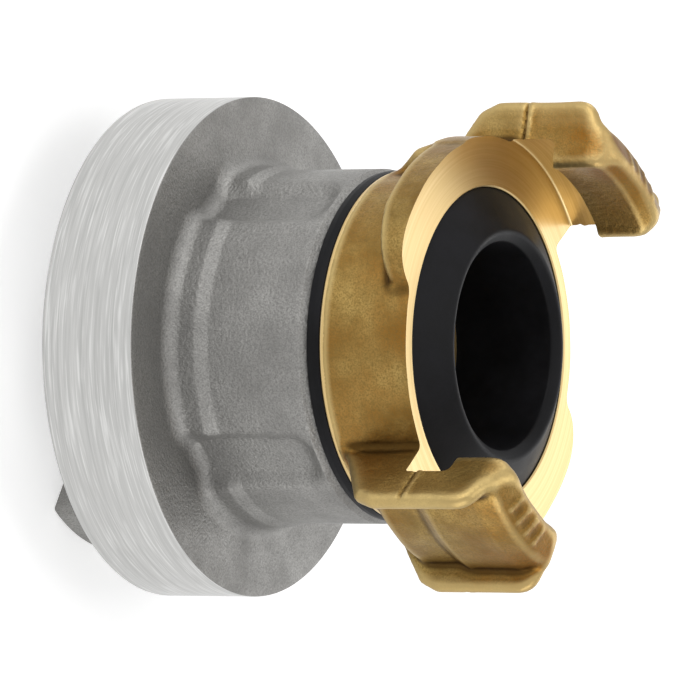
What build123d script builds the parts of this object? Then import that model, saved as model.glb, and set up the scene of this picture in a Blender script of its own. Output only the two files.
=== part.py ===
from build123d import *
from math import cos, radians, sin
import os

# Quarter-turn fire hose adapter: an aluminium lug coupling half, 25 mm size with 31 mm between its lugs,
# screwed by a one-inch pipe thread to a brass claw coupling half with 40 mm between its claws.
# It stands on the tips of its two lugs: the coupling axis is +Z, the claws are up and centred on +Y
# and -Y, and the origin is on the axis at the tips of the lugs. Millimetres and degrees.

# --- Lug coupling half ---------------------------------------------------------------------------
rim_radius = 27.5
rim_thickness = 11.4
rim_edge = 0.5
lug_reach = 7.5             # lugs standing ahead of the rim's front face
lug_inner_radius = 15.5     # half of the 31 mm between the lugs
lug_shank_radius = 18.7
lug_head_radius = 22.6
lug_head_height = 3.8
lug_width = 38              # angle of one lug about the axis
lug_turn = 18.5             # angle from the claws round to the lugs
lip_radius = 19.5           # inner edge of the rim's bayonet lip
lip_thickness = 3.6
slot_radius = 23.4          # entry slots for the other half's lug heads
slot_width = 44
slot_gap = 3                # angle between a lug and the slot beside it
groove_radius = 23.9        # bayonet groove turned behind the lip
groove_depth = 8.6          # floor of that groove behind the rim's front face
hub_clearance = 0.2         # between the hub and the other half's lugs
hub_setback = 0.4           # hub's front edge behind the rim's front face
waterway_radius = 10.5
neck_length = 16.8
neck_fillet = 1.6
collar_rise = 0.5           # cast collar at the neck's root
collar_length = 3.8
neck_chamfer = 0.8
flute_width = 6.4           # wrench flutes cast along the neck, in two pairs
flute_depth = 1.2
flute_end = 1.6             # plain turned length left at the neck's end
flute_angle = 161           # middle of one pair, as an angle from +X
flute_spread = 96           # angle between the two flutes of a pair
flute_corner = 2.4

# --- Thread between the halves -------------------------------------------------------------------
thread_radius = 16.6        # one-inch pipe thread, 33.2 mm over the crests
neck_wall = 2.8
thread_length = 11.5
thread_relief = 1.5         # room past the end of the nipple
thread_clearance = 0.05
gasket_thickness = 1.6
gasket_setback = 0.2        # gasket's edge inside the neck's

# --- Face seal of the lug half -------------------------------------------------------------------
face_seal_radius = 14.0
face_seal_bore = 10.9
face_seal_depth = 4.2
face_seal_bead = 0.5        # bead that snaps under the hub's edge
face_seal_bead_height = 1.6
face_seal_proud = 0.6       # lip ahead of the rim's front face

# --- Claw coupling half --------------------------------------------------------------------------
head_radius = 19.3
head_face_radius = 18.8     # casting draft towards the face
head_length = 10.5
body_bore_radius = 12.0
claw_start = 110.5          # claw's wing side, as an angle from +X
claw_end = 69.5
claw_radius = 25.3
claw_step = 0.5             # front half of the claw's back stands this much higher
claw_step_height = 1.3      # above the brass face, at the mould's parting plane
arm_inner_radius = 23.2
finger_gap = 5.2            # from the brass face to the finger
finger_tip_radius = 20.2
finger_front = 12.5         # crest of the finger above the brass face
crest_radius = 21.5
start_rib_radius = 27.6
end_rib_radius = 28.2
start_rib_width = 3.4
end_rib_width = 4.4
rib_front = 10.6            # blunt front of the ribs above the brass face
rib_shoulder = 8.0          # start of the front's rounding above the brass face
finger_round = 3.6          # plan rounding of the finger's two front corners
wing_radius = 22.6
wing_end = 197              # lead-in end of the wing, as an angle from +X
wing_lead_round = 5.5
wing_lead_thickness = 2.2
wing_rise = 0.052           # ramp of the wing's back, mm for each degree
wing_root_slope = 1.6       # rise of the sloped root behind the wing, beside the claw
wing_root_end = 42          # angle from the claw where that root has faded out
wing_root_fade = 28
seal_recess_depth = 8.6
seal_radius = 17.3
seal_undercut = 0.4
seal_undercut_height = 2.2
seal_clearance = 0.03

# --- Lip seal in the brass face ------------------------------------------------------------------
lip_seal_bore = 11.3
lip_crest_radius = 12.4
lip_height = 2.5            # crest above the brass face
lip_round = 0.7

neck_radius = thread_radius + neck_wall
collar_radius = neck_radius + collar_rise
gasket_radius = neck_radius - gasket_setback
rim_front = lug_reach
rim_back = rim_front + rim_thickness
neck_end = rim_back + neck_length
shoulder = neck_end + gasket_thickness
face = shoulder + head_length
nipple_end = shoulder - thread_length
hub_radius = lug_inner_radius - hub_clearance
groove_floor = rim_front + groove_depth
hub_front = rim_front + hub_setback
face_seal_floor = rim_front + face_seal_depth
seal_floor = face - seal_recess_depth


def section(corners):
    """Face in the XZ plane from (radius, height) corners; a third number rounds that corner."""
    outline = make_face(Polyline(*[corner[:2] for corner in corners], close=True))
    for corner in corners:
        if len(corner) == 3:
            place = Vector(corner[0], corner[1], 0)
            vertex = outline.vertices().sort_by(lambda v: (v.center() - place).length)[0]
            outline = fillet(vertex, corner[2])
    return Plane.XZ * outline


def turned(corners, start=0, sweep_angle=360):
    """Solid of revolution about the coupling axis, or a sector of one from the angle start."""
    return Rot(0, 0, start) * revolve(section(corners), Axis.Z, sweep_angle)


def both_sides(solid):
    """The solid and its copy half a turn round the axis."""
    return [solid, Rot(0, 0, 180) * solid]


def sector_plan(inner, outer, start, end):
    """Flat ring sector between two angles."""
    ring = Circle(outer) - Circle(inner)
    reach = 2 * outer
    corners = [(0, 0)]
    for step in range(5):
        angle = radians(start + (end - start) * step / 4)
        corners.append((reach * cos(angle), reach * sin(angle)))
    return ring & make_face(Polyline(*corners, close=True))


# --- Aluminium lug coupling half -----------------------------------------------------------------
def lug():
    """One lug: a shank beside the hub with a head hooked outwards, chamfered to lead in."""
    start = 90 + lug_turn - lug_width / 2
    lead = 1.0
    return turned([
        (lug_inner_radius - hub_clearance - 0.5, groove_floor + 0.5),
        (lug_inner_radius - hub_clearance - 0.5, hub_front + 1.0),
        (lug_inner_radius, hub_front + 0.4),
        (lug_inner_radius, 0, 0.5),
        (lug_head_radius - lead, 0, 0.6),
        (lug_head_radius, lead, 0.6),
        (lug_head_radius, lug_head_height, 0.4),
        (lug_shank_radius, lug_head_height + 0.5, 0.5),
        (lug_shank_radius, groove_floor + 0.5),
    ], start, lug_width)


def entry_slot():
    """Slot through the bayonet lip, where the other half's lug head goes in."""
    start = 90 + lug_turn + lug_width / 2 + slot_gap
    return turned([
        (lip_radius - 2, rim_front - 1),
        (slot_radius, rim_front - 1),
        (slot_radius, rim_front + lip_thickness + 2),
        (lip_radius - 2, rim_front + lip_thickness + 2),
    ], start, slot_width)


def flute(angle):
    """One lengthwise wrench flute in the neck, closed by rounded corners short of the neck's end."""
    length = neck_end - flute_end - rim_back
    tool = Box(2 * flute_depth, flute_width, length, align=(Align.CENTER, Align.CENTER, Align.MIN))
    tool = fillet(tool.edges().filter_by(Axis.X), flute_corner)
    place = Pos(neck_radius, 0, rim_back)
    return Rot(0, 0, angle) * place * tool


def lug_coupling_body():
    blank = turned([
        (waterway_radius, hub_front),
        (hub_radius, hub_front, 0.4),
        (hub_radius, groove_floor, 0.5),
        (groove_radius, groove_floor, 0.8),
        (groove_radius, rim_front + lip_thickness),
        (lip_radius, rim_front + lip_thickness - 0.6, 0.3),
        (lip_radius, rim_front, 0.5),
        (rim_radius, rim_front, rim_edge),
        (rim_radius, rim_back, rim_edge),
        (collar_radius, rim_back, neck_fillet),
        (collar_radius, rim_back + collar_length),
        (neck_radius, rim_back + collar_length + 0.6),
        (neck_radius, neck_end - neck_chamfer),
        (neck_radius - neck_chamfer, neck_end),
        (thread_radius + 0.4, neck_end),
        (thread_radius, neck_end - 0.4),
        (thread_radius, nipple_end - thread_relief),
        (waterway_radius, nipple_end - thread_relief - 1.5),
    ])
    seal_seat = turned([
        (waterway_radius - 1, hub_front - 1),
        (face_seal_radius, hub_front - 1),
        (face_seal_radius, face_seal_floor - face_seal_bead_height),
        (face_seal_radius + face_seal_bead, face_seal_floor - face_seal_bead_height),
        (face_seal_radius + face_seal_bead, face_seal_floor),
        (waterway_radius - 1, face_seal_floor),
    ])
    body = blank - seal_seat - both_sides(entry_slot()) + both_sides(lug())
    for angle in (flute_angle - flute_spread / 2, flute_angle + flute_spread / 2):
        body = body - both_sides(flute(angle))
    return body


def lug_face_seal():
    """Rubber pressure ring in the hub, with a bead under the hub's edge and a lip at its bore."""
    outer = face_seal_radius - seal_clearance
    return turned([
        (face_seal_bore, rim_front - face_seal_proud, 0.5),
        (outer - 0.8, rim_front - face_seal_proud, 0.6),
        (outer, hub_front + 0.6, 0.3),
        (outer, face_seal_floor - face_seal_bead_height),
        (outer + face_seal_bead, face_seal_floor - face_seal_bead_height + seal_clearance),
        (outer + face_seal_bead, face_seal_floor),
        (face_seal_bore, face_seal_floor),
        (face_seal_bore, rim_front + 2.4),
        (face_seal_bore + 0.7, rim_front + 1.8, 0.4),
        (face_seal_bore, rim_front + 0.9, 0.3),
    ])


def thread_gasket():
    """Flat sealing ring pinched between the neck's end and the brass shoulder."""
    return turned([
        (thread_radius + 0.2, neck_end),
        (gasket_radius, neck_end, 0.4),
        (gasket_radius, shoulder, 0.4),
        (thread_radius + 0.2, shoulder),
    ])


# --- Brass claw coupling half --------------------------------------------------------------------
def finger_inside():
    """Corners shared by every section of a claw, from the finger's tip round to the brass face."""
    return [
        (finger_tip_radius, face + finger_gap, 0.5),
        (arm_inner_radius, face + finger_gap, 1.0),
        (arm_inner_radius, face),
        (head_face_radius - 1.2, face),
    ]


def claw_arm():
    """Middle of the claw: hooked section with a stepped back, lower than the ribs at its ends."""
    low = claw_radius - claw_step
    parting = face + claw_step_height
    return turned([
        (head_face_radius - 1.2, shoulder + 1.3),
        (head_radius - 0.2, shoulder + 1.3),
        (low, shoulder + 6.4, 1.2),
        (low, parting - 0.6),
        (claw_radius, parting + 0.7),
        (claw_radius, face + rib_shoulder, 2.0),
        (claw_radius - 0.6, face + rib_front + 0.2, 1.2),
        (crest_radius, face + finger_front, 0.9),
        (finger_tip_radius, face + rib_front, 0.6),
    ] + finger_inside(), claw_end, claw_start - claw_end)


def claw_rib(radius, start, width):
    """Rib standing up round one end of the claw, for the hand to push on."""
    return turned([
        (head_face_radius - 1.2, shoulder + 1.1),
        (head_radius - 0.2, shoulder + 1.1),
        (radius - 1.0, shoulder + 5.8, 1.2),
        (radius, face - 2.5, 1.5),
        (radius, face + rib_shoulder + 0.8, 2.2),
        ((radius + finger_tip_radius) / 2, face + rib_front + 0.4, 1.5),
        (finger_tip_radius + 0.3, face + rib_front, 0.6),
        (finger_tip_radius + 0.3, face + finger_gap + 1),
    ] + finger_inside(), start, width)


def corner_waste(inward):
    """What the rounding of one front corner takes off a claw whose end lies along +X."""
    top = face + finger_front
    block = Box(claw_radius, finger_round + 1, finger_round + 1)
    block = Pos(claw_radius, inward * (finger_round - 1) / 2, top - (finger_round - 1) / 2) * block
    rounding = Rot(0, 90, 0) * Cylinder(finger_round, 2 * claw_radius)
    return block - Pos(claw_radius, inward * finger_round, top - finger_round) * rounding


def claw():
    start_rib = claw_rib(start_rib_radius, claw_start - start_rib_width, start_rib_width)
    end_rib = claw_rib(end_rib_radius, claw_end, end_rib_width)
    start_waste = Rot(0, 0, claw_start) * corner_waste(-1)
    end_waste = Rot(0, 0, claw_end) * corner_waste(1)
    return claw_arm() + start_rib + end_rib - start_waste - end_waste


def wing():
    """Rim part that the other half's finger slides behind, thicker towards the claw."""
    first = claw_start - 3
    inner = body_bore_radius + 1
    plan = sector_plan(inner, wing_radius, first, wing_end)
    lead = Vector(wing_radius * cos(radians(wing_end)), wing_radius * sin(radians(wing_end)), 0)
    corner = plan.vertices().sort_by(lambda v: (v.center() - lead).length)[0]
    plan = fillet(corner, wing_lead_round)
    prism = Pos(0, 0, shoulder) * extrude(plan, head_length)
    cuts = []
    stations = 9
    for index in range(stations):
        angle = first - 1 + (wing_end + 2 - first) * index / (stations - 1)
        back = face - wing_lead_thickness - wing_rise * (wing_end - max(angle, claw_start))
        root = min(max((claw_start + wing_root_end - angle) / wing_root_fade, 0), 1)
        slope = root * wing_root_slope
        cut = section([
            (inner, back - slope * (wing_radius - inner)),
            (wing_radius + 1, back + slope),
            (wing_radius + 1, face + 2),
            (inner, face + 2),
        ])
        cuts.append(Rot(0, 0, angle) * cut)
    return prism & loft(cuts)


def claw_coupling_body():
    head = turned([
        (body_bore_radius, nipple_end, 0.4),
        (thread_radius - thread_clearance - 0.8, nipple_end),
        (thread_radius - thread_clearance, nipple_end + 0.8),
        (thread_radius - thread_clearance, shoulder),
        (head_radius, shoulder, 0.4),
        (head_face_radius, face, 0.3),
        (body_bore_radius, face),
    ])
    recess = turned([
        (0, seal_floor),
        (seal_radius + seal_undercut, seal_floor),
        (seal_radius + seal_undercut, seal_floor + seal_undercut_height),
        (seal_radius, seal_floor + seal_undercut_height),
        (seal_radius, face + 1),
        (0, face + 1),
    ])
    return head + both_sides(wing()) + both_sides(claw()) - recess


def claw_lip_seal():
    """Moulded rubber seal: a base locked in the recess and a cone rising to the lip at its bore."""
    outer = seal_radius - seal_clearance
    return turned([
        (lip_seal_bore, seal_floor),
        (outer + seal_undercut, seal_floor),
        (outer + seal_undercut, seal_floor + seal_undercut_height - seal_clearance),
        (outer, seal_floor + seal_undercut_height - seal_clearance),
        (outer, face - 0.3),
        (lip_crest_radius, face + lip_height, lip_round),
        (lip_seal_bore, face + lip_height - 0.9, 0.4),
    ])


parts = {
    "lug_coupling_body": lug_coupling_body,
    "lug_face_seal": lug_face_seal,
    "thread_gasket": thread_gasket,
    "claw_coupling_body": claw_coupling_body,
    "claw_lip_seal": claw_lip_seal,
}

os.makedirs("parts", exist_ok=True)
for name, make in parts.items():
    export_step(make(), f"parts/{name}.step")
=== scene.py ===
import math

import bpy
import numpy as np
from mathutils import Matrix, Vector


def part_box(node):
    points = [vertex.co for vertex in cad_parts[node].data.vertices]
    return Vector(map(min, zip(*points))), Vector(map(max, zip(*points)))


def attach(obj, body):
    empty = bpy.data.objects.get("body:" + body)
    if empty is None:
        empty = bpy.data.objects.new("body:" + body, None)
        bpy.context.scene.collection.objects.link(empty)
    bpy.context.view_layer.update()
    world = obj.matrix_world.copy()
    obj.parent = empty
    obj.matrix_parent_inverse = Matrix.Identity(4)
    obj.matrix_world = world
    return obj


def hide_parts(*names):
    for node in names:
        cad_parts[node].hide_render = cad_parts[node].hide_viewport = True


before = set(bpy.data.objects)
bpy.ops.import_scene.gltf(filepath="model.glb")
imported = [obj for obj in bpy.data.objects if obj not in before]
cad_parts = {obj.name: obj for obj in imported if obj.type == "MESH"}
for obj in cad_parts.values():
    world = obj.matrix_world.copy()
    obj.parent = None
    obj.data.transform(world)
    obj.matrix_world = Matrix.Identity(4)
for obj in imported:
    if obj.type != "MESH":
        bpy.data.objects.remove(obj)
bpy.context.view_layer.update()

import openvdb
from mathutils import Matrix, Vector


# --- Lug coupling body -----------------------------------------------------------------------------
# One aluminium casting: a rim with a bayonet lip, two hooked lugs, a hub and a neck with wrench flutes.
# The rim, the lip, the hub and the neck's end are turned bright, the rest keeps its sand-cast skin.
# Sizes are in millimetres from here on, heights above the lugs' tips, and meshes are made in metres.
metres = 0.001
sharp_angle = 32
lug_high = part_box("lug_coupling_body")[1]
rim_radius = lug_high.x / metres
neck_end = lug_high.z / metres
rim_front = neck_end - 28.2
rim_back = rim_front + 11.4
lip_radius = 19.5
groove_radius = 23.9
groove_roof = rim_front + 3.6
groove_floor = rim_front + 8.6
hub_radius = 15.3
hub_front = rim_front + 0.4
seat_radius = 14.0
seat_floor = rim_front + 4.2
waterway_radius = 10.5
collar_radius = 19.9
collar_end = rim_back + 3.8
neck_radius = 19.4
thread_radius = 16.6
thread_end = neck_end - 11.4
flute_centres = (159, 254.5, 339, 74.5)
flute_width = 6.4
flute_depth = 1.2
flute_corner = 2.4
flute_stop = neck_end - 1.6
flute_soft = 2.0
flute_foot = 3.0
lug_centres = (108.5, 288.5)
lug_width = 38
lug_shank_radius = 18.7
lug_head_radius = 22.6
lug_head_height = 3.8
lug_lead = 1.0
lug_edge = 0.35
slot_centres = (152.5, 332.5)
slot_width = 44
slot_radius = 23.4


def rounded(corners, arc_step=0.12):
    """Closed outline through (radius, height[, round]) corners, with the round corners as arcs."""
    points = []
    for index, corner in enumerate(corners):
        here = np.array(corner[:2], float)
        if len(corner) == 2:
            points.append(here)
            continue
        before = np.array(corners[index - 1][:2], float) - here
        after = np.array(corners[(index + 1) % len(corners)][:2], float) - here
        before /= np.linalg.norm(before)
        after /= np.linalg.norm(after)
        half = math.acos(float(np.clip(before @ after, -1, 1))) / 2
        middle = (before + after) / np.linalg.norm(before + after)
        centre = here + middle * corner[2] / math.sin(half)
        start = here + before * corner[2] / math.tan(half) - centre
        sweep = math.pi - 2 * half
        sense = -math.copysign(1, before[0] * after[1] - before[1] * after[0])
        steps = max(4, math.ceil(corner[2] * sweep / arc_step))
        for step in range(steps + 1):
            angle = sense * sweep * step / steps
            turn = np.array([[math.cos(angle), -math.sin(angle)], [math.sin(angle), math.cos(angle)]])
            points.append(centre + turn @ start)
    return np.array(points)


def divided(outline, longest):
    """The outline with points added so that no side is longer than this."""
    points = []
    for here, there in zip(outline, np.roll(outline, -1, axis=0)):
        count = max(1, math.ceil(np.linalg.norm(there - here) / longest))
        for step in range(count):
            points.append(here + (there - here) * step / count)
    return np.array(points)


def solid(name, points, faces):
    """Mesh object from points in millimetres, smooth but for its sharp edges."""
    mesh = bpy.data.meshes.new(name)
    mesh.from_pydata((np.asarray(points) * metres).tolist(), [], faces)
    mesh.validate()
    mesh.shade_smooth()
    mesh.set_sharp_from_angle(angle=math.radians(sharp_angle))
    made = bpy.data.objects.new(name, mesh)
    bpy.context.scene.collection.objects.link(made)
    return made


def turned(name, outline, segments=480, start=0, sweep=360, shaped=None):
    """Ring, or a sector of one, with this outline as its section. shaped may change the points."""
    area = np.sum(outline[:, 0] * np.roll(outline[:, 1], -1) - np.roll(outline[:, 0], -1) * outline[:, 1])
    if area < 0:
        outline = outline[::-1]
    count = len(outline)
    whole = sweep == 360
    stations = segments if whole else segments + 1
    angles = np.radians(start + sweep * np.arange(stations) / segments)[:, None]
    radius = np.repeat(outline[None, :, 0], stations, axis=0)
    height = np.repeat(outline[None, :, 1], stations, axis=0)
    if shaped:
        radius, height = shaped(radius, height, angles)
    points = np.stack([radius * np.cos(angles), radius * np.sin(angles), height], axis=-1).reshape(-1, 3)
    faces = []
    for station in range(segments):
        here = station * count
        there = (station + 1) % stations * count
        for side in range(count):
            after = (side + 1) % count
            faces.append((here + side, there + side, there + after, here + after))
    if not whole:
        faces.append(tuple(range(count)))
        faces.append(tuple(segments * count + side for side in reversed(range(count))))
    return solid(name, points, faces)


def combined(piece, tools, operation):
    """Joins the tools to the piece, or cuts them out of it, and removes them."""
    bpy.context.view_layer.objects.active = piece
    for tool in tools:
        change = piece.modifiers.new(operation.lower(), "BOOLEAN")
        change.operation = operation
        change.solver = "MANIFOLD"
        change.object = tool
        bpy.ops.object.modifier_apply(modifier=change.name)
        bpy.data.objects.remove(tool)


def fluted(radius, height, angles):
    """Sinks the four wrench flutes into the neck, flat across, with rounded ends and soft edges.

    The edges get softer near the rim, and there the flutes keep the fillet at the neck's foot.
    """
    floor = neck_radius - flute_depth
    for centre in flute_centres:
        turn = angles - math.radians(centre)
        across = np.abs(radius * np.sin(turn)) - (flute_width / 2 - flute_corner)
        along = height - (flute_stop - flute_corner)
        corner = np.hypot(np.maximum(across, 0), np.maximum(along, 0))
        edge = corner + np.minimum(np.maximum(across, along), 0) - flute_corner
        near_rim = np.clip((rim_back + flute_foot - height) / flute_foot, 0, 1)
        soft = flute_soft * (1 + near_rim)
        share = np.clip(0.5 - edge / soft, 0, 1)
        share = share * share * (3 - 2 * share)
        share *= (np.cos(turn) > 0) & (radius > thread_radius + 1) & (height > rim_back - 0.01)
        share *= np.clip((collar_radius + 3.2 - radius) / 1.5, 0, 1)
        wanted = np.minimum(radius, floor / np.maximum(np.cos(turn), 0.3))
        wanted = np.maximum(wanted, radius - (collar_radius - floor))
        radius = radius + (wanted - radius) * share
    return radius, height


lug_outline = rounded([
    (waterway_radius, seat_floor, 0.2),
    (seat_radius + 0.5, seat_floor),
    (seat_radius + 0.5, seat_floor - 1.6),
    (seat_radius, seat_floor - 1.6),
    (seat_radius, hub_front, 0.15),
    (hub_radius, hub_front, 0.4),
    (hub_radius, groove_floor, 0.5),
    (groove_radius, groove_floor, 0.8),
    (groove_radius, groove_roof),
    (lip_radius, groove_roof - 0.6, 0.3),
    (lip_radius, rim_front, 0.5),
    (rim_radius, rim_front, 0.5),
    (rim_radius, rim_back, 0.12),
    (collar_radius, rim_back, 1.7),
    (collar_radius, collar_end - 0.5, 1.2),
    (neck_radius, collar_end + 1.0, 1.2),
    (neck_radius, neck_end - 0.8, 0.12),
    (neck_radius - 0.8, neck_end, 0.12),
    (thread_radius + 0.4, neck_end),
    (thread_radius, neck_end - 0.4),
    (thread_radius, thread_end),
    (waterway_radius, thread_end - 1.5, 0.2),
], 0.2)
lug_body = turned("lug_coupling_half", divided(lug_outline, 0.75), segments=400, shaped=fluted)

slot_outline = np.array([
    (lip_radius - 2, rim_front - 1),
    (slot_radius, rim_front - 1),
    (slot_radius, groove_roof + 0.8),
    (lip_radius - 2, groove_roof + 0.8),
])
slots = []
for centre in slot_centres:
    slots.append(turned("entry_slot", slot_outline, 44, centre - slot_width / 2, slot_width))
combined(lug_body, slots, "DIFFERENCE")

lug_section = rounded([
    (hub_radius - 0.5, groove_floor + 0.5),
    (hub_radius - 0.5, hub_front + 1.0),
    (hub_radius + 0.2, hub_front + 0.4),
    (hub_radius + 0.2, 0, 0.5),
    (lug_head_radius - lug_lead, 0, 0.6),
    (lug_head_radius, lug_lead, 0.6),
    (lug_head_radius, lug_head_height, 0.4),
    (lug_shank_radius, lug_head_height + 0.5, 0.6),
    (lug_shank_radius, groove_floor + 0.5),
])
lugs = []
for centre in lug_centres:
    lug = turned("lug", divided(lug_section, 0.5), 48, centre - lug_width / 2, lug_width)
    edges = lug.modifiers.new("soft_edges", "BEVEL")
    edges.width = lug_edge * metres
    edges.segments = 3
    edges.angle_limit = math.radians(50)
    bpy.context.view_layer.objects.active = lug
    bpy.ops.object.modifier_apply(modifier=edges.name)
    lugs.append(lug)
combined(lug_body, lugs, "UNION")


def effect(name, inputs, outputs):
    """Empty node group with these named inputs and outputs, for one effect shared by materials."""
    group = bpy.data.node_groups.new(name, "ShaderNodeTree")
    for label, kind, value in inputs:
        socket = group.interface.new_socket(label, in_out="INPUT", socket_type=kind)
        socket.default_value = value
    for label, kind in outputs:
        group.interface.new_socket(label, in_out="OUTPUT", socket_type=kind)
    return group, group.nodes.new("NodeGroupInput"), group.nodes.new("NodeGroupOutput")


def node(tree, kind, settings=(), sockets=()):
    """New node of this kind with its settings, and with sockets linked or given a value."""
    made = tree.nodes.new("ShaderNode" + kind)
    for label, value in dict(settings).items():
        setattr(made, label, value)
    for label, value in dict(sockets).items():
        if isinstance(value, bpy.types.NodeSocket):
            tree.links.new(value, made.inputs[label])
        else:
            made.inputs[label].default_value = value
    return made


def spread(tree, value, low, high, to_low=0.0, to_high=1.0):
    """Value taken from one range to another and held inside it."""
    made = node(tree, "MapRange", sockets={
        "Value": value, "From Min": low, "From Max": high, "To Min": to_low, "To Max": to_high})
    return made.outputs["Result"]


# Sand-cast skin: the grains of the mould as height, and slow stains and fine specks as masks.
cast_skin, given, result = effect(
    "cast_skin",
    [("Grain", "NodeSocketFloat", 1800.0), ("Stain", "NodeSocketFloat", 120.0)],
    [("Height", "NodeSocketFloat"), ("Stains", "NodeSocketFloat"), ("Specks", "NodeSocketFloat")])
place = node(cast_skin, "TexCoord").outputs["Object"]
grains = node(cast_skin, "TexNoise", sockets={
    "Vector": place, "Scale": given.outputs["Grain"], "Detail": 3.0, "Roughness": 0.6})
pits = node(cast_skin, "TexNoise", sockets={
    "Vector": place, "Scale": 700.0, "Detail": 4.0, "Roughness": 0.6})
stains = node(cast_skin, "TexNoise", sockets={
    "Vector": place, "Scale": given.outputs["Stain"], "Detail": 5.0, "Roughness": 0.6})
specks = node(cast_skin, "TexNoise", sockets={"Vector": place, "Scale": 5200.0, "Detail": 3.0})
height = node(cast_skin, "Math", {"operation": "MULTIPLY_ADD"}, {0: pits.outputs["Fac"], 1: 0.35})
cast_skin.links.new(grains.outputs["Fac"], height.inputs[2])
cast_skin.links.new(height.outputs["Value"], result.inputs["Height"])
cast_skin.links.new(spread(cast_skin, stains.outputs["Fac"], 0.36, 0.64), result.inputs["Stains"])
cast_skin.links.new(spread(cast_skin, specks.outputs["Fac"], 0.4, 0.75), result.inputs["Specks"])

# Tool marks of the lathe: fine rings round the coupling axis, broken up along their length.
lathe_marks, given, result = effect(
    "lathe_marks",
    [("Pitch", "NodeSocketFloat", 2600.0)],
    [("Height", "NodeSocketFloat"), ("Rings", "NodeSocketFloat"), ("Scratches", "NodeSocketFloat")])
place = node(lathe_marks, "TexCoord").outputs["Object"]
parts = node(lathe_marks, "SeparateXYZ", sockets={"Vector": place})
flat = node(lathe_marks, "CombineXYZ", sockets={"X": parts.outputs["X"], "Y": parts.outputs["Y"]})
out = node(lathe_marks, "VectorMath", {"operation": "LENGTH"}, {0: flat.outputs["Vector"]})
along = node(lathe_marks, "Math", {"operation": "MULTIPLY"}, {
    0: parts.outputs["Z"], 1: given.outputs["Pitch"]})
outward = node(lathe_marks, "Math", {"operation": "MULTIPLY"}, {
    0: out.outputs["Value"], 1: given.outputs["Pitch"]})
rings_at = node(lathe_marks, "CombineXYZ", sockets={
    "X": along.outputs["Value"], "Y": outward.outputs["Value"]})
slow = node(lathe_marks, "VectorMath", {"operation": "MULTIPLY"}, {0: place, 1: (60.0, 60.0, 0.0)})
shifted = node(lathe_marks, "VectorMath", {"operation": "ADD"}, {
    0: rings_at.outputs["Vector"], 1: slow.outputs["Vector"]})
rings = node(lathe_marks, "TexNoise", sockets={
    "Vector": shifted.outputs["Vector"], "Scale": 1.0, "Detail": 3.0, "Roughness": 0.7})
wide = node(lathe_marks, "VectorMath", {"operation": "MULTIPLY"}, {0: place, 1: (150.0, 150.0, 4200.0)})
scratches = node(lathe_marks, "TexNoise", sockets={
    "Vector": wide.outputs["Vector"], "Scale": 1.0, "Detail": 2.0, "Roughness": 0.5})
lathe_marks.links.new(rings.outputs["Fac"], result.inputs["Height"])
lathe_marks.links.new(spread(lathe_marks, rings.outputs["Fac"], 0.32, 0.68), result.inputs["Rings"])
lathe_marks.links.new(spread(lathe_marks, scratches.outputs["Fac"], 0.52, 0.7), result.inputs["Scratches"])


def finish(name, metallic=1.0, **plain):
    """New material with one Principled shader, and its tree."""
    made = bpy.data.materials.new(name)
    made.use_nodes = True
    tree = made.node_tree
    shader = tree.nodes["Principled BSDF"]
    shader.inputs["Metallic"].default_value = metallic
    for label, value in plain.items():
        shader.inputs[label.replace("_", " ")].default_value = value
    return made, tree, shader


def placed(tree, group, **values):
    """The shared effect as a node of this material, with its own values."""
    made = tree.nodes.new("ShaderNodeGroup")
    made.node_tree = group
    for label, value in values.items():
        made.inputs[label].default_value = value
    return made


def blended(tree, share, first, second):
    """Colour between two colours, each a socket or three numbers. The Mix node's are inputs 6 and 7."""
    made = node(tree, "Mix", {"data_type": "RGBA"}, {0: share})
    for place_in, colour in ((6, first), (7, second)):
        if isinstance(colour, bpy.types.NodeSocket):
            tree.links.new(colour, made.inputs[place_in])
        else:
            made.inputs[place_in].default_value = (*colour, 1)
    return made.outputs[2]


cast_aluminium, tree, shader = finish("cast_aluminium")
skin = placed(tree, cast_skin, Grain=2600.0, Stain=150.0)
colour = blended(tree, skin.outputs["Stains"], (0.235, 0.231, 0.221), (0.30, 0.296, 0.283))
colour = blended(tree, skin.outputs["Specks"], colour, (0.17, 0.167, 0.16))
tree.links.new(colour, shader.inputs["Base Color"])
tree.links.new(spread(tree, skin.outputs["Stains"], 0, 1, 0.62, 0.54), shader.inputs["Roughness"])
bump = node(tree, "Bump", sockets={"Strength": 0.5, "Distance": 0.00022, "Height": skin.outputs["Height"]})
tree.links.new(bump.outputs["Normal"], shader.inputs["Normal"])

turned_aluminium, tree, shader = finish("turned_aluminium", Anisotropic=0.4)
marks = placed(tree, lathe_marks, Pitch=2600.0)
colour = blended(tree, marks.outputs["Rings"], (0.41, 0.41, 0.402), (0.53, 0.53, 0.52))
colour = blended(tree, marks.outputs["Scratches"], colour, (0.62, 0.62, 0.61))
tree.links.new(colour, shader.inputs["Base Color"])
tree.links.new(spread(tree, marks.outputs["Rings"], 0, 1, 0.40, 0.30), shader.inputs["Roughness"])
bump = node(tree, "Bump", sockets={
    "Strength": 0.35, "Distance": 0.00005, "Height": marks.outputs["Height"]})
tree.links.new(bump.outputs["Normal"], shader.inputs["Normal"])


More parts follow.
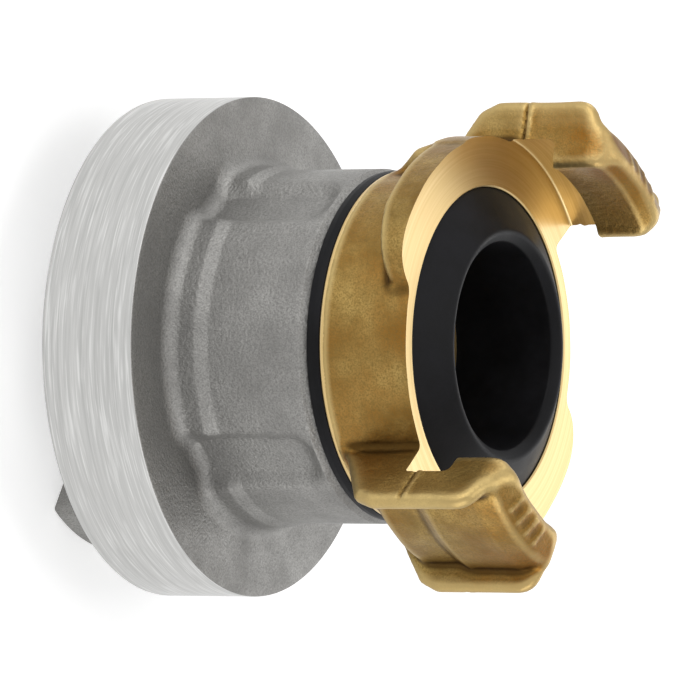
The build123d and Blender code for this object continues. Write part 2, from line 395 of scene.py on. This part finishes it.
def skinned(piece, materials, choose):
    """Gives each face the material that choose picks from where the face is and how it faces."""
    piece.data.materials.clear()
    for material in materials:
        piece.data.materials.append(material)
    count = len(piece.data.polygons)
    centres = np.empty(count * 3)
    normals = np.empty(count * 3)
    piece.data.polygons.foreach_get("center", centres)
    piece.data.polygons.foreach_get("normal", normals)
    centres = centres.reshape(-1, 3) / metres
    normals = normals.reshape(-1, 3)
    radius = np.hypot(centres[:, 0], centres[:, 1])
    outward = np.sum(centres[:, :2] * normals[:, :2], axis=1) / radius
    picked = choose(radius, centres, outward, normals[:, 2])
    piece.data.polygons.foreach_set("material_index", picked.astype(np.int32))
    piece.data.shade_smooth()
    piece.data.set_sharp_from_angle(angle=math.radians(sharp_angle))


def lug_finishes(radius, centre, outward, upward):
    """1 where the lathe reached: rim, lip, groove, hub, bore and the neck's end. The rest is as cast."""
    height = centre[:, 2]
    rim_side = radius > rim_radius - 0.02
    front = (height < groove_floor) & (height > rim_front - 0.1) & (upward < 0.9)
    end = height > neck_end - 0.05
    inside = (radius < thread_radius + 0.1) & (height > seat_floor - 0.1)
    cast_lug = (height < rim_front - 0.1) | ((radius > hub_radius + 0.05) & (radius < lip_radius - 0.2))
    return (rim_side | front | end | inside) & ~cast_lug


skinned(lug_body, [cast_aluminium, turned_aluminium], lug_finishes)
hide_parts("lug_coupling_body")
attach(lug_body, "root")

# --- Face seal of the lug half ---------------------------------------------------------------------
# Moulded black rubber pressure ring, snapped into the hub under a small bead.
# Its front stands a little ahead of the rim, so that the mating half squeezes it.
seal_gap = 0.03
ring_radius = seat_radius - seal_gap
ring_bore = 10.9
ring_front = rim_front - 0.6
ring_outline = rounded([
    (ring_bore, ring_front, 0.5),
    (ring_radius - 0.8, ring_front, 0.6),
    (ring_radius, hub_front + 0.6, 0.3),
    (ring_radius, seat_floor - 1.6),
    (ring_radius + 0.5, seat_floor - 1.57),
    (ring_radius + 0.5, seat_floor),
    (ring_bore, seat_floor),
    (ring_bore, rim_front + 2.4),
    (ring_bore + 0.7, rim_front + 1.8, 0.4),
    (ring_bore, rim_front + 0.9, 0.3),
])
face_seal = turned("lug_face_seal_ring", divided(ring_outline, 0.8), 240)

# Rubber: faint mould bloom and dust in the colour, and a very fine grain.
black_rubber, tree, shader = finish("black_rubber", 0.0, Specular_IOR_Level=0.1)
place = node(tree, "TexCoord").outputs["Object"]
bloom = node(tree, "TexNoise", sockets={
    "Vector": place, "Scale": 180.0, "Detail": 5.0, "Roughness": 0.65})
grain = node(tree, "TexNoise", sockets={"Vector": place, "Scale": 3200.0, "Detail": 2.0})
share = spread(tree, bloom.outputs["Fac"], 0.35, 0.7)
colour = blended(tree, share, (0.005, 0.005, 0.0055), (0.011, 0.011, 0.013))
tree.links.new(colour, shader.inputs["Base Color"])
tree.links.new(spread(tree, bloom.outputs["Fac"], 0.3, 0.7, 0.42, 0.56), shader.inputs["Roughness"])
bump = node(tree, "Bump", sockets={"Strength": 0.25, "Distance": 0.00004, "Height": grain.outputs["Fac"]})
tree.links.new(bump.outputs["Normal"], shader.inputs["Normal"])
face_seal.data.materials.append(black_rubber)
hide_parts("lug_face_seal")
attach(face_seal, "root")

# --- Thread gasket ---------------------------------------------------------------------------------
# Flat black ring that seals the thread, pinched between the neck's end and the brass shoulder.
# Squeezed rubber bulges a little between the two faces.
gasket_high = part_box("thread_gasket")[1]
gasket_radius = gasket_high.x / metres
shoulder = gasket_high.z / metres
gasket_outline = rounded([
    (thread_radius + 0.2, neck_end),
    (gasket_radius - 0.12, neck_end, 0.25),
    (gasket_radius, (neck_end + shoulder) / 2, 0.5),
    (gasket_radius - 0.12, shoulder, 0.25),
    (thread_radius + 0.2, shoulder),
])
gasket = turned("thread_gasket_ring", gasket_outline, 360)
gasket.data.materials.append(black_rubber)
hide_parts("thread_gasket")
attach(gasket, "root")

# --- Claw coupling body ----------------------------------------------------------------------------
# One brass casting with two claws and two wings, its skin and mould line left as cast.
# The nipple, the shoulder, the face, the seal recess and the insides of the claws are turned.
claw_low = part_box("claw_coupling_body")[0]
nipple_end = claw_low.z / metres
face = shoulder + 10.5
head_radius = 19.3
head_face_radius = 18.8
body_bore = 12.0
claw_start = 110.5
claw_end = 69.5
claw_radius = 25.3
back_step = 0.65
parting = face + 1.3
arm_inner = 23.2
finger_gap = 5.2
finger_tip = 20.2
finger_front = 12.5
crest_radius = 21.5
rib_front = 10.6
start_rib_radius = 27.6
end_rib_radius = 28.2
start_rib_width = 3.4
end_rib_width = 4.0
front_round = 3.6
flash_height = 0.2
flash_groove = 0.28
bar_turns = (-8.5, -3.5, 1.5, 6.5)
bar_radius = 23.1
bar_length = 2.0
bar_width = 0.6
bar_height = 0.16
wing_radius = 22.6
wing_inner_radius = 15.0
wing_start = claw_start - 6
wing_level_end = 172
wing_end = 197
wing_thickness = 3.8
wing_end_thickness = 2.1
wing_lead = 7.5
gusset_end = 138
wave_height = 0.05
recess_radius = 17.3
recess_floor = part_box("claw_lip_seal")[0].z / metres
cast_face = face + 0.9

voxel = 0.3
reach = 29.1
spots = np.arange(-round(reach / voxel), round(reach / voxel) + 1) * voxel
levels = np.arange(shoulder - 0.6, face + finger_front + 1.2, voxel)
across, ahead = np.meshgrid(spots, spots, indexing="ij")
radius = np.hypot(across, ahead)
height = levels[None, None, :]


def ring(corners):
    """Distance from a ring with this section at every grid point, negative inside it."""
    outline = rounded(corners, 0.3)
    fine = 0.05
    out, up = np.meshgrid(np.arange(0, reach * 1.5, fine), levels, indexing="ij")
    nearest = np.full(out.shape, 1e9)
    inside = np.zeros(out.shape, bool)
    for a, b in zip(outline, np.roll(outline, -1, axis=0)):
        side = b - a
        share = np.clip(((out - a[0]) * side[0] + (up - a[1]) * side[1]) / (side @ side + 1e-12), 0, 1)
        nearest = np.minimum(nearest, np.hypot(out - a[0] - share * side[0], up - a[1] - share * side[1]))
        if a[1] != b[1]:
            inside ^= ((a[1] > up) != (b[1] > up)) & (out < side[0] * (up - a[1]) / side[1] + a[0])
    signed = np.where(inside, -nearest, nearest)
    place_in = radius / fine
    low = place_in.astype(int)
    share = (place_in - low)[:, :, None]
    return signed[low] * (1 - share) + signed[low + 1] * share


def past(angle):
    """Distance past a plane through the axis at this angle, in the sense of growing angles."""
    turn = math.radians(angle)
    return (ahead * math.cos(turn) - across * math.sin(turn))[:, :, None]


def joined(first, second, soft):
    """Both shapes, with a fillet of about this size where they meet."""
    mix = np.maximum(soft - np.abs(first - second), 0) / soft
    return np.minimum(first, second) - mix * mix * soft / 4


def common(first, second, soft):
    """What both shapes share, with edges rounded by about this much."""
    return -joined(-first, -second, soft)


inside_claw = [
    (finger_tip, face + finger_gap - 1, 0.5),
    (arm_inner - 1.0, face + finger_gap - 1),
    (arm_inner - 1.0, cast_face),
    (head_face_radius - 1.2, cast_face),
]
arm = ring([
    (head_face_radius - 1.2, shoulder + 1.3),
    (head_radius - 0.2, shoulder + 1.3),
    (claw_radius - back_step, shoulder + 6.4, 1.2),
    (claw_radius - back_step, parting - 0.6, 0.5),
    (claw_radius, parting + 0.7, 0.5),
    (claw_radius, face + 8.2, 2.0),
    (claw_radius - 0.6, face + rib_front + 0.2, 1.2),
    (crest_radius, face + finger_front, 0.9),
    (finger_tip, face + rib_front, 0.6),
] + inside_claw)


def rib_ring(top):
    """Distance from the ring that a rib with this outer radius is cut from."""
    return ring([
        (head_face_radius - 1.2, shoulder + 1.1),
        (head_radius - 0.2, shoulder + 1.1),
        (top - 1.0, shoulder + 5.8, 1.4),
        (top, shoulder + 8.0, 1.5),
        (top, face + rib_front - 1.6, 2.6),
        ((top + finger_tip) / 2, face + rib_front + 0.4, 2.0),
        (finger_tip + 0.3, face + rib_front, 0.8),
        (finger_tip + 0.3, face + finger_gap + 0.5),
    ] + inside_claw)


# The mould's halves meet in a thin raised line, and the claws' front corners are well rounded.
flash = flash_height * np.exp(-((height - parting - 0.35) / 0.3) ** 2)
flash = flash - flash_groove * np.exp(-((height - parting) / 0.2) ** 2)
into_corner = np.clip(height - (face + finger_front - front_round), 0, front_round * 0.98)
corner_inset = front_round - np.sqrt(front_round ** 2 - into_corner ** 2)
start_face = past(claw_start) - flash + corner_inset
end_face = -past(claw_end) - flash + corner_inset * 0.8
start_rib = common(rib_ring(start_rib_radius), -past(claw_start - start_rib_width), 0.9)
end_rib = common(rib_ring(end_rib_radius), past(claw_end + end_rib_width), 1.2)
claw = joined(joined(arm, start_rib, 0.7), end_rib, 0.7)

# Plain raised bars on the front of each finger.
bars = np.full(claw.shape, reach)
for turn in bar_turns:
    off_middle = np.abs(past(90 + turn)) - bar_width / 2
    along = np.abs(radius - bar_radius)[:, :, None] - bar_length / 2
    bars = np.minimum(bars, np.maximum(np.maximum(off_middle, along), arm - bar_height))
bars = np.maximum(bars, face + rib_front - 0.6 - height)
claw = joined(claw, bars, 0.25)
claw = common(common(claw, start_face, 1.0), end_face, 1.0)

# Wings: flat in front, a ramp behind, thicker towards the claw, with the lead corner rounded off.
angle = (np.degrees(np.arctan2(ahead, across)) % 360)[:, :, None]
thickness = np.interp(
    angle, [claw_start, wing_level_end, wing_end], [wing_thickness, wing_thickness, wing_end_thickness])
lead = common(past(wing_end), (radius - wing_radius)[:, :, None], wing_lead)
wing = common(lead, face - thickness - height, 0.5)
wing = np.maximum(wing, height - cast_face)
wing = np.maximum(wing, -past(wing_start))
wing = np.maximum(wing, (wing_inner_radius - radius)[:, :, None])
gusset = ring([
    (wing_inner_radius, face - 9.4),
    (head_radius, face - 9.1),
    (21.8, face - 6.6, 1.5),
    (wing_radius, face - wing_thickness, 1.0),
    (wing_radius, cast_face),
    (wing_inner_radius, cast_face),
])
gusset = common(np.maximum(gusset, -past(wing_start)), past(gusset_end), 0.9)
head = ring([
    (10.0, shoulder + 0.4),
    (head_radius - 0.02, shoulder + 0.4),
    (head_face_radius, cast_face),
    (10.0, cast_face),
])
half = joined(joined(wing, gusset, 0.8), claw, 0.8)
waves_across = np.sin(across * 0.9 + 1.3) * np.sin(ahead * 0.8)
skin_waves = wave_height * waves_across[:, :, None] * np.sin(height * 0.7)
casting = joined(joined(half, half[::-1, ::-1, :], 0.5), head, 0.8) + skin_waves

casting = np.clip(casting, -3, 3)
grid = openvdb.FloatGrid()
grid.background = 3.0
grid.copyFromArray(casting.astype(np.float32))
points, quads = grid.convertToQuads(isovalue=0.0)
points = points * voxel + np.array([spots[0], spots[0], levels[0]])
claw_body = solid("claw_coupling_half", points, quads.tolist())

spigot_outline = rounded([
    (body_bore - 1, nipple_end),
    (thread_radius - 0.85, nipple_end),
    (thread_radius - 0.05, nipple_end + 0.8),
    (thread_radius - 0.05, shoulder),
    (head_radius - 0.15, shoulder, 0.25),
    (head_radius - 0.15, shoulder + 0.9),
    (head_radius - 1.2, shoulder + 1.0),
    (body_bore - 1, shoulder + 1.4),
])
spigot = turned("spigot", divided(spigot_outline, 1.0), 360)
combined(claw_body, [spigot], "UNION")
turning_outline = rounded([
    (8, face),
    (arm_inner, face, 0.3),
    (arm_inner, face + finger_gap, 0.9),
    (finger_tip + 0.2, face + finger_gap),
    (finger_tip - 0.6, face + finger_gap - 0.6),
    (8, face + finger_gap - 0.6),
])
recess_outline = rounded([
    (8, recess_floor),
    (recess_radius + 0.4, recess_floor),
    (recess_radius + 0.4, recess_floor + 2.2),
    (recess_radius, recess_floor + 2.2),
    (recess_radius, face - 0.15),
    (recess_radius + 0.3, face + 0.15),
    (recess_radius + 0.3, face + 0.5),
    (8, face + 0.5),
])
bore_outline = np.array([
    (6, nipple_end - 1), (body_bore, nipple_end - 1), (body_bore, recess_floor + 1), (6, recess_floor + 1)])
cutters = []
for name, outline in (("turning", turning_outline), ("recess", recess_outline), ("bore", bore_outline)):
    cutters.append(turned(name, divided(outline, 1.0), 480))
combined(claw_body, cutters, "DIFFERENCE")

# How far each point stands proud of the shape's smoothed neighbourhood: edges are above 0, hollows below.
# The brass paints highlight on the edges and shade in the hollows from it.
smoothed = casting
for axis in (0, 1, 2) * 4:
    smoothed = (np.roll(smoothed, 1, axis) + smoothed + np.roll(smoothed, -1, axis)) / 3
shade_and_highlight_grid = smoothed - casting
points = np.empty(len(claw_body.data.vertices) * 3)
claw_body.data.vertices.foreach_get("co", points)
place_in = (points.reshape(-1, 3) / metres - [spots[0], spots[0], levels[0]]) / voxel
low = np.clip(np.floor(place_in).astype(int), 0, np.array(casting.shape) - 2)
share = np.clip(place_in - low, 0, 1)
shade_and_highlight = np.zeros(len(low))
for step in np.ndindex(2, 2, 2):
    shade_and_highlight += np.prod(np.where(step, share, 1 - share), axis=1) * shade_and_highlight_grid[tuple((low + step).T)]
kept = claw_body.data.attributes.new("shade_and_highlight", "FLOAT", "POINT")
kept.data.foreach_set("value", shade_and_highlight.astype(np.float32))

cast_brass, tree, shader = finish("cast_brass")
skin = placed(tree, cast_skin, Grain=1500.0, Stain=130.0)
burn = placed(tree, cast_skin, Grain=1500.0, Stain=55.0)
burnt = node(tree, "Math", {"operation": "POWER"}, {0: burn.outputs["Stains"], 1: 1.3})
edges = node(tree, "Attribute", {"attribute_name": "shade_and_highlight"}).outputs["Fac"]
colour = blended(tree, skin.outputs["Stains"], (0.17, 0.105, 0.027), (0.39, 0.275, 0.093))
colour = blended(tree, burnt.outputs["Value"], colour, (0.23, 0.10, 0.016))
colour = blended(tree, skin.outputs["Specks"], colour, (0.16, 0.104, 0.03))
# Painted shade: the hollows darken towards deep brown.
colour = blended(tree, spread(tree, edges, -0.015, -0.08, 0, 0.85), colour, (0.045, 0.022, 0.005))
# Painted highlight: the edges lighten towards pale brass.
colour = blended(tree, spread(tree, edges, 0.03, 0.12, 0, 0.6), colour, (0.54, 0.41, 0.18))
tree.links.new(colour, shader.inputs["Base Color"])
tree.links.new(spread(tree, skin.outputs["Stains"], 0, 1, 0.5, 0.38), shader.inputs["Roughness"])
bump = node(tree, "Bump", sockets={"Strength": 0.4, "Distance": 0.00018, "Height": skin.outputs["Height"]})
tree.links.new(bump.outputs["Normal"], shader.inputs["Normal"])

turned_brass, tree, shader = finish("turned_brass")
marks = placed(tree, lathe_marks, Pitch=3200.0)
colour = blended(tree, marks.outputs["Rings"], (0.56, 0.40, 0.17), (0.66, 0.50, 0.25))
tree.links.new(colour, shader.inputs["Base Color"])
tree.links.new(spread(tree, marks.outputs["Rings"], 0, 1, 0.36, 0.3), shader.inputs["Roughness"])
bump = node(tree, "Bump", sockets={"Strength": 0.2, "Distance": 0.00003, "Height": marks.outputs["Height"]})
tree.links.new(bump.outputs["Normal"], shader.inputs["Normal"])


def claw_finishes(radius, centre, outward, upward):
    """1 where the lathe reached: face, recess, insides of the claws and spigot. The rest is as cast."""
    height = centre[:, 2]
    front = (np.abs(height - face) < 0.05) & (upward > 0.9)
    inner_arm = (np.abs(radius - arm_inner) < 0.4) & (outward < -0.3) & (height < face + finger_gap)
    under_finger = (np.abs(height - face - finger_gap) < 0.1) & (upward < -0.9)
    hollow = (radius < recess_radius + 0.5) & (height < face + 0.1)
    spigot_side = (height < shoulder + 0.9) & (radius < head_radius - 0.14)
    return front | inner_arm | under_finger | hollow | spigot_side


skinned(claw_body, [cast_brass, turned_brass], claw_finishes)
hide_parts("claw_coupling_body")
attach(claw_body, "root")

# --- Lip seal in the brass face --------------------------------------------------------------------
# Moulded black rubber: a base locked in the recess, and a cone that rises to the lip at its bore.
# The mating half's seal presses lip against lip.
lip_bore = 11.3
lip_outer = recess_radius - seal_gap
skirt = 1.7
lip_outline = rounded([
    (lip_bore, recess_floor - skirt, 0.2),
    (body_bore - seal_gap, recess_floor - skirt, 0.2),
    (body_bore - seal_gap, recess_floor),
    (lip_outer + 0.4, recess_floor),
    (lip_outer + 0.4, recess_floor + 2.17),
    (lip_outer, recess_floor + 2.17),
    (lip_outer, face - 0.3, 0.25),
    (12.4, face + 2.5, 0.7),
    (lip_bore, face + 1.6, 0.4),
])
lip_seal = turned("claw_lip_seal_ring", divided(lip_outline, 0.6), 360)
lip_seal.data.materials.append(black_rubber)
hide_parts("claw_lip_seal")
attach(lip_seal, "root")

# --- Studio ----------------------------------------------------------------------------------------
# Pale floor that keeps the shadow, a white world behind, and large soft lamps round the coupling.
# The camera looks past the claws at the coupling's side, with the coupling's axis lying across the view.
floor_reach = 1200 * metres
floor_glow = 0.5
world_level = 0.24
camera_lens = 467.2
camera_place = (26.59, -0.295, 1009.2)
floor_mesh = bpy.data.meshes.new("studio_floor")
floor_corners = [(x * floor_reach, y * floor_reach, 0) for x, y in ((-1, -1), (1, -1), (1, 1), (-1, 1))]
floor_mesh.from_pydata(floor_corners, [], [(0, 1, 2, 3)])
floor = bpy.data.objects.new("studio_floor", floor_mesh)
bpy.context.scene.collection.objects.link(floor)
pale, tree, shader = finish("pale_floor", 0.0, Roughness=0.9)
shader.inputs["Base Color"].default_value = (0.9, 0.9, 0.9, 1)
shader.inputs["Emission Color"].default_value = (1, 1, 1, 1)


def background_rays(tree):
    """1 for the rays that show the background: to the camera, or by way of a shiny or clear surface."""
    path = node(tree, "LightPath")
    through = node(tree, "Math", {"operation": "MAXIMUM"}, {
        0: path.outputs["Is Camera Ray"], 1: path.outputs["Is Transmission Ray"]})
    seen = node(tree, "Math", {"operation": "MAXIMUM"}, {
        0: through.outputs["Value"], 1: path.outputs["Is Glossy Ray"]})
    return seen.outputs["Value"]


tree.links.new(spread(tree, background_rays(tree), 0, 1, 0, floor_glow), shader.inputs["Emission Strength"])
floor_mesh.materials.append(pale)

view_angle = math.radians(60.8)
claw_turn = math.radians(124.5)
roll = math.radians(-0.2)
side_way = Vector((math.sin(claw_turn), -math.cos(claw_turn), 0))
axis_way = Vector((0, 0, 1))
right = axis_way * math.sin(view_angle) + side_way * math.cos(view_angle)
up = Vector((math.cos(claw_turn), math.sin(claw_turn), 0))
back = axis_way * math.cos(view_angle) - side_way * math.sin(view_angle)
right, up = (right * math.cos(roll) + up * math.sin(roll), up * math.cos(roll) - right * math.sin(roll))


def aimed(kind, name, at, toward=None):
    """Camera or lamp at (right, up, back) millimetres from the part's foot, facing back to it."""
    made = bpy.data.objects.new(name, kind)
    spot = (right * at[0] + up * at[1] + back * at[2]) * metres
    if toward is None:
        matrix = Matrix((right, up, back)).transposed().to_4x4()
    else:
        matrix = (spot - Vector(toward) * metres).to_track_quat("Z", "Y").to_matrix().to_4x4()
    matrix.translation = spot
    made.matrix_world = matrix
    bpy.context.scene.collection.objects.link(made)
    return made


camera = bpy.data.cameras.new("camera")
camera.sensor_width = 36
camera.lens = camera_lens
camera.clip_start = 0.05
camera.clip_end = 10
bpy.context.scene.camera = aimed(camera, "camera", camera_place)

middle = (0, 0, 30)
for name, at, size, watts in (
        ("key_lamp", (-60, 460, 480), 0.5, 2.4),
        ("top_lamp", (120, 560, -240), 0.45, 1.5),
        ("side_lamp", (-640, 60, 380), 0.5, 1.2),
        ("back_lamp", (511, -150, -314), 0.45, 0.8),
        ("front_lamp", (560, 120, 260), 0.4, 0.8),
        ("low_lamp", (60, -480, 260), 0.4, 1.1)):
    lamp = bpy.data.lights.new(name, "AREA")
    lamp.shape = "SQUARE"
    lamp.size = size
    lamp.energy = watts
    aimed(lamp, name, at, middle)

world = bpy.data.worlds.new("studio_world")
world.use_nodes = True
bpy.context.scene.world = world
tree = world.node_tree
world_light = tree.nodes["Background"]
world_light.inputs["Color"].default_value = (1, 1, 1, 1)
tree.links.new(spread(tree, background_rays(tree), 0, 1, world_level, 1.0), world_light.inputs["Strength"])
bpy.context.scene.view_settings.view_transform = "Standard"
